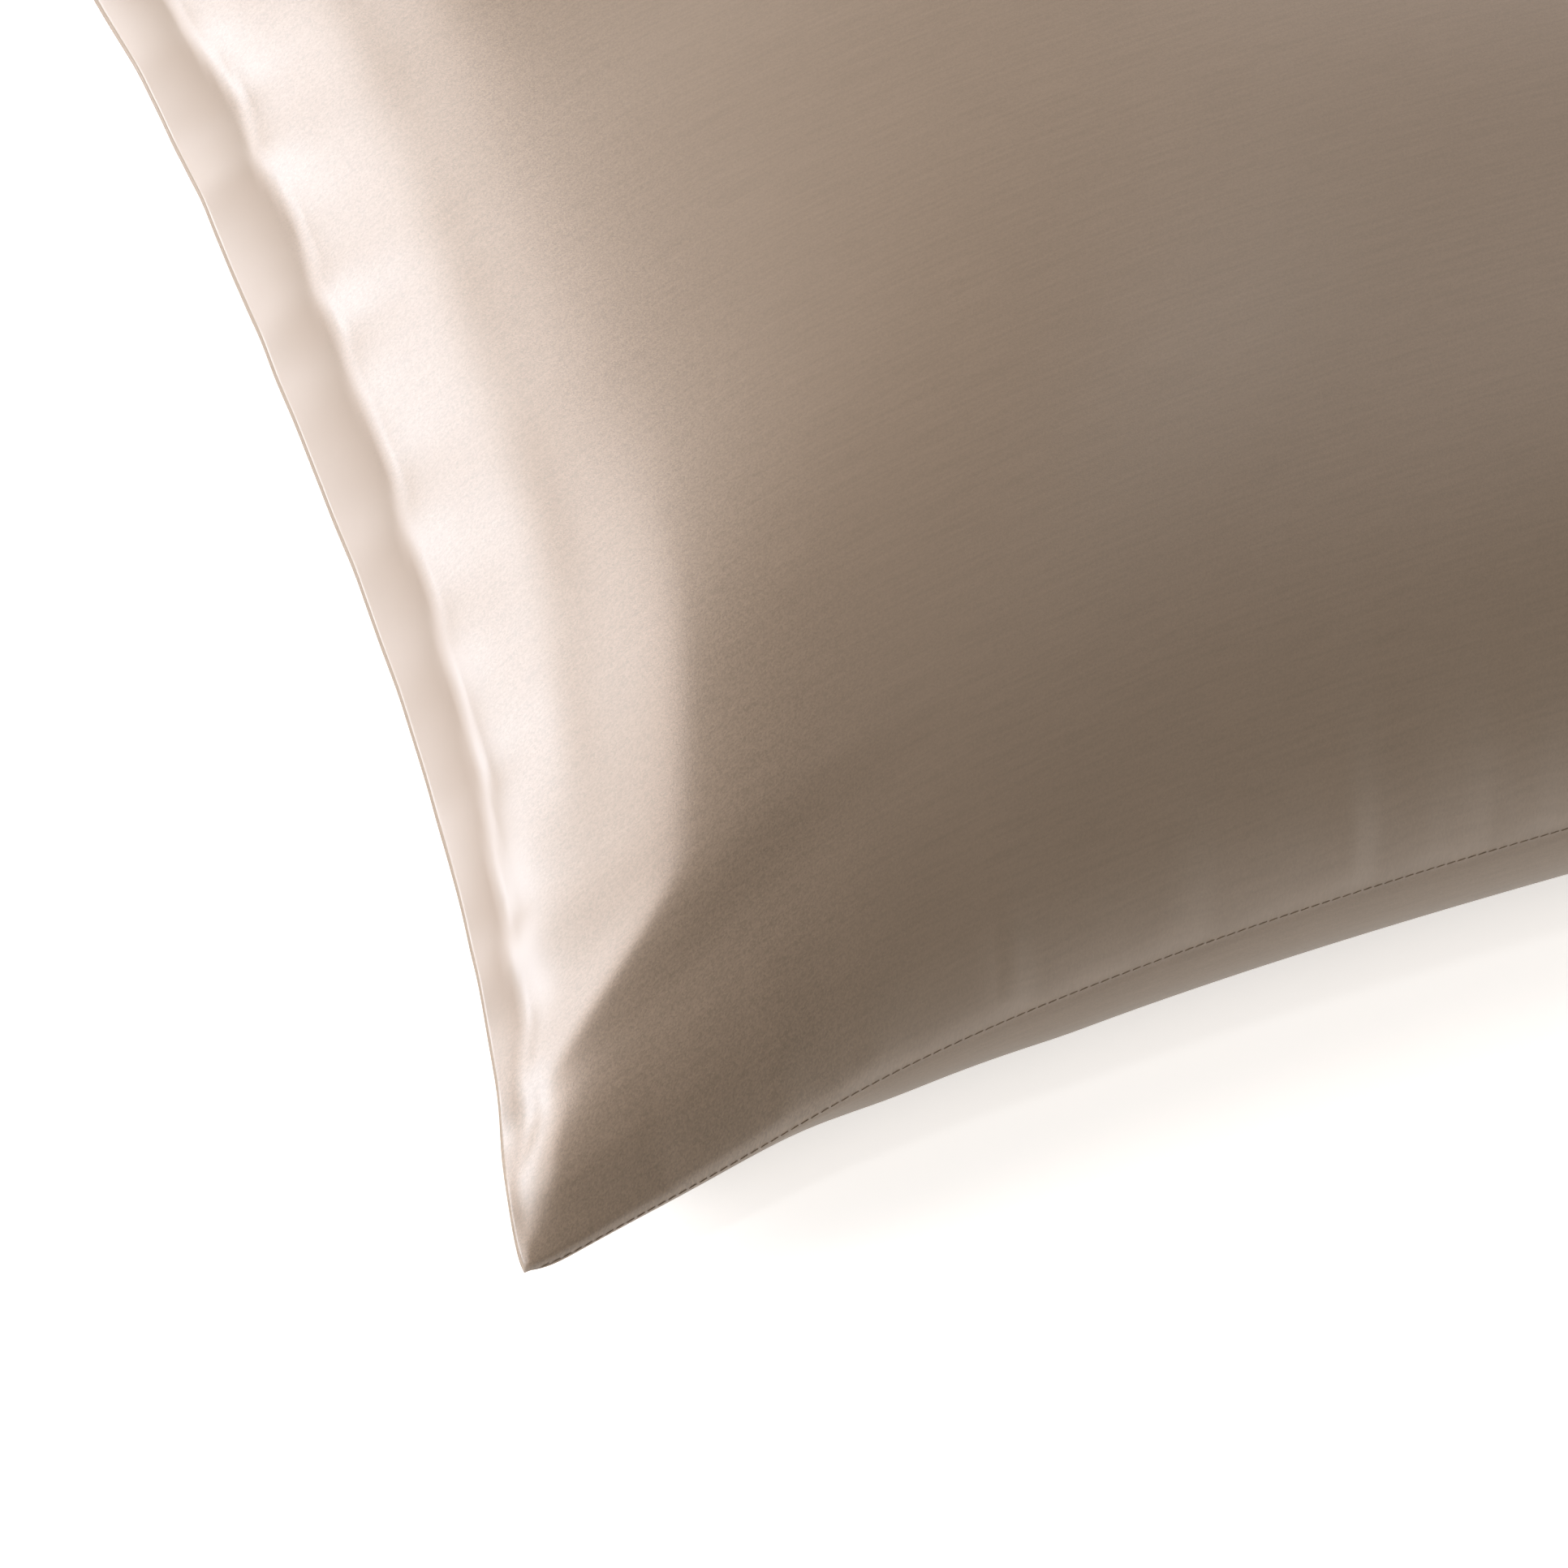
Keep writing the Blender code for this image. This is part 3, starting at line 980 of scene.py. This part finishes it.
def build_satin():
    material, tree, shader = new_material("polyester_satin")
    place = add_node(tree, "ShaderNodeUVMap", uv_map="cut_cloth")
    split = add_node(tree, "ShaderNodeSeparateXYZ", [("Vector", place.outputs[0])])
    glint_place = along_weave(tree, place, GLINT_LENGTH, GLINT_WIDTH)
    # Painted glints: random light and dark specks in the colour, in place of the sparkle of single
    # floats.
    painted_glints = add_node(
        tree, "ShaderNodeTexVoronoi", [("Vector", glint_place.outputs[0])],
        voronoi_dimensions="2D", values={"Scale": 1.0},
    )
    relief = add_node(
        tree, "ShaderNodeTexNoise", [("Vector", glint_place.outputs[0])],
        noise_dimensions="2D", values={"Scale": 1.0, "Detail": GLINT_DETAIL},
    )
    streak_place = along_weave(tree, place, STREAK_LENGTH, STREAK_WIDTH)
    streaks = add_node(
        tree, "ShaderNodeTexNoise", [("Vector", streak_place.outputs[0])],
        noise_dimensions="2D", values={"Scale": 1.0, "Detail": STREAK_DETAIL},
    )
    beyond_band = fade(tree, split.outputs["X"], GRAIN_STARTS, GRAIN_WHOLE)
    by_corner = fade(tree, split.outputs["Y"], *CORNER_GRAIN, 1.0, 0.0)
    grain_and_painted_glints = add_node(
        tree, "ShaderNodeMath",
        [(0, beyond_band.outputs[0]), (1, by_corner.outputs[0])], operation="MAXIMUM",
    )
    # Painted highlight: the painted glints are strongest on the left flank, which the window
    # lights, and fade up the front.
    painted_glints_off_the_flank = fade(tree, split.outputs["X"], *PAINTED_GLINTS_FADE, *PAINTED_GLINT_CONTRAST)
    painted_glint_strength = add_node(
        tree, "ShaderNodeMath",
        [(0, grain_and_painted_glints.outputs[0]), (1, painted_glints_off_the_flank.outputs[0])], operation="MULTIPLY",
    )
    streak_contrast = add_node(
        tree, "ShaderNodeMath", [(0, grain_and_painted_glints.outputs[0])],
        operation="MULTIPLY", values={1: STREAK_CONTRAST},
    )
    # The painted glints and the weave's streaks together set the mix of the two satin colours.
    painted_glint_swing = add_pattern(tree, painted_glints.outputs["Color"], painted_glint_strength.outputs[0], [])
    streaks_and_painted_glints = add_pattern(
        tree, streaks.outputs[0], streak_contrast.outputs[0], [(2, painted_glint_swing.outputs[0])]
    )
    # In a colour mix, inputs 6 and 7 and output 2 are the ones for colours.
    colour = add_node(
        tree, "ShaderNodeMix", [("Factor", streaks_and_painted_glints.outputs[0])], data_type="RGBA",
        values={6: linear_colour(SATIN_STREAK_AND_PAINTED_SHADE_HEX), 7: linear_colour(SATIN_STREAK_AND_PAINTED_GLINT_HEX)},
    )
    bump = add_node(
        tree, "ShaderNodeBump",
        [("Height", relief.outputs[0]), ("Strength", grain_and_painted_glints.outputs[0])],
        values={"Distance": GLINT_HEIGHT},
    )
    tangent = add_node(tree, "ShaderNodeTangent", direction_type="UV_MAP", uv_map="cut_cloth")
    shader.inputs["Roughness"].default_value = SATIN_ROUGHNESS
    shader.inputs["IOR"].default_value = SATIN_IOR
    shader.inputs["Anisotropic"].default_value = GLOSS_STRETCH
    shader.inputs["Anisotropic Rotation"].default_value = GLOSS_TURN
    tree.links.new(colour.outputs[2], shader.inputs["Base Color"])
    tree.links.new(bump.outputs["Normal"], shader.inputs["Normal"])
    tree.links.new(tangent.outputs[0], shader.inputs["Tangent"])
    return material


satin = build_satin()
skin.data.materials.append(satin)
print(satin.name, "has", len(satin.node_tree.nodes), "nodes")


# %% [markdown]
# ## Sewing thread
#
# The sides are sewn with spun polyester thread. It is matt beside the satin, dyed to match it,
# and looks darker in its groove. Its twist is too fine to model, so it is a little bump.

# %% Thread
THREAD_HEX = "#887a6a"
THREAD_ROUGHNESS = 0.7
THREAD_TWIST = 0.35 * MM
TWIST_DETAIL = 1.0
TWIST_STRENGTH = 0.3
TWIST_HEIGHT = 0.05 * MM


def build_thread():
    material, tree, shader = new_material("spun_polyester_thread")
    place = add_node(tree, "ShaderNodeTexCoord")
    twist = add_node(
        tree, "ShaderNodeTexNoise", [("Vector", place.outputs["Object"])],
        values={"Scale": 1 / THREAD_TWIST, "Detail": TWIST_DETAIL},
    )
    bump = add_node(
        tree, "ShaderNodeBump", [("Height", twist.outputs[0])],
        values={"Strength": TWIST_STRENGTH, "Distance": TWIST_HEIGHT},
    )
    shader.inputs["Base Color"].default_value = linear_colour(THREAD_HEX)
    shader.inputs["Roughness"].default_value = THREAD_ROUGHNESS
    tree.links.new(bump.outputs["Normal"], shader.inputs["Normal"])
    return material


thread = build_thread()
for row in stitch_rows:
    row.data.materials.append(thread)
print(thread.name, "is on", len(stitch_rows), "rows of stitches")


# %% [markdown]
# ## The table
#
# The case lies on a plain pale table that is lit a little from within, as a light table is, so
# that it stays nearly white in the shade too. A stronger lamp would whiten it as well, but it
# would also bleach the cloth.

# %% The table
TABLE_SIZE = 8.0
TABLE_HEX = "#f2f1ef"
TABLE_ROUGHNESS = 0.8
TABLE_GLOW = 0.55


def build_floor():
    deselect_all()
    bpy.ops.mesh.primitive_plane_add(size=TABLE_SIZE, location=(0.0, 0.0, 0.0))
    floor = bpy.context.object
    floor.name = "pale_table"
    material, _, shader = new_material("pale_acrylic_table")
    shader.inputs["Base Color"].default_value = linear_colour(TABLE_HEX)
    shader.inputs["Roughness"].default_value = TABLE_ROUGHNESS
    shader.inputs["Emission Color"].default_value = (1.0, 1.0, 1.0, 1.0)
    shader.inputs["Emission Strength"].default_value = TABLE_GLOW
    floor.data.materials.append(material)
    return floor


floor = build_floor()
print(floor.name, "is", TABLE_SIZE, "m wide")


# %% [markdown]
# ## The lights
#
# A tall soft window of light stands at the left and a little behind: the left flank mirrors it,
# and its upper edge draws the line where the shine stops. Its foot is the brightest part and
# gives the ridge its white gleam. Low lights beside it, one overhead and weak fills do the rest.
#
# Each light is a row: the direction in which its middle stands, how far it spreads round the
# case and how high it looks, all in degrees, how bright its surface is, and its colour. The foot
# of the window is a little cool and most others are a little warm, so the gleam is white on
# cloth that looks beige.

# %% The lights
LIGHT_DISTANCE = 3.0
LIGHT_AIM = Vector((-0.25, -0.10, 0.06))
STUDIO_LIGHTS = (
    # name,          azimuth, elevation, wide, high, brightness, colour
    ("window_foot", 160, 7, 24, 14, 25.0, "#f2f6ff"),
    ("window_middle", 160, 21, 24, 14, 11.0, "#fff8f4"),
    ("window_head", 160, 35, 24, 13, 14.0, "#ffeee6"),
    ("window_side", 137, 10, 20, 20, 8.0, "#f9f7ff"),
    ("low_back", 100, 6, 50, 12, 19.0, "#fffdff"),
    ("back_fill", 45, 32, 60, 26, 4.0, "#fff7f6"),
    ("right_low", 350, 12, 60, 20, 0.6, "#fff3e5"),
    ("right_middle", 350, 35, 60, 20, 2.8, "#fffdf6"),
    ("ceiling_right", 330, 62, 60, 22, 2.0, "#fff0e8"),
    ("front_low", 250, 10, 50, 14, 3.0, "#fff3e8"),
    ("ceiling", 20, 85, 30, 16, 16.0, "#ffffff"),
)
ROOM_LIGHT = 0.03


def add_area_light(name, azimuth, elevation, wide, high, brightness, colour):
    """A soft rectangle of light that faces the case, level, at these angles in degrees.

    The brightness of its surface is its power over pi and over its area.
    """
    azimuth, elevation = math.radians(azimuth), math.radians(elevation)
    direction = Vector((
        math.cos(azimuth) * math.cos(elevation),
        math.sin(azimuth) * math.cos(elevation),
        math.sin(elevation),
    ))
    right = Vector((-math.sin(azimuth), math.cos(azimuth), 0.0))
    up = direction.cross(right)
    deselect_all()
    bpy.ops.object.light_add(type="AREA", location=LIGHT_AIM + direction * LIGHT_DISTANCE)
    light = bpy.context.object
    light.name = name
    light.rotation_euler = Matrix((right, up, direction)).transposed().to_euler()
    light.data.shape = "RECTANGLE"
    light.data.size = 2 * LIGHT_DISTANCE * math.tan(math.radians(wide) / 2) * math.cos(elevation)
    light.data.size_y = 2 * LIGHT_DISTANCE * math.tan(math.radians(high) / 2)
    light.data.energy = math.pi * light.data.size * light.data.size_y * brightness
    light.data.color = linear_colour(colour)[:3]
    light.visible_camera = False
    return light


def build_room():
    world = bpy.data.worlds.new("studio")
    bpy.context.scene.world = world
    world.use_nodes = True
    background = world.node_tree.nodes["Background"]
    background.inputs["Color"].default_value = (1.0, 1.0, 1.0, 1.0)
    background.inputs["Strength"].default_value = ROOM_LIGHT
    bpy.context.scene.view_settings.view_transform = "Standard"


for row in STUDIO_LIGHTS:
    light = add_area_light(*row)
    print(light.name, "is", round(light.data.size, 2), "x", round(light.data.size_y, 2), "m")
build_room()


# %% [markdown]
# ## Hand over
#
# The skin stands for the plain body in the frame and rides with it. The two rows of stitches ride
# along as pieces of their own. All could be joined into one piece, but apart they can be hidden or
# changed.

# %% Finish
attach(skin, "root")
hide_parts("pillowcase")
for row in stitch_rows:
    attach(row, "root")
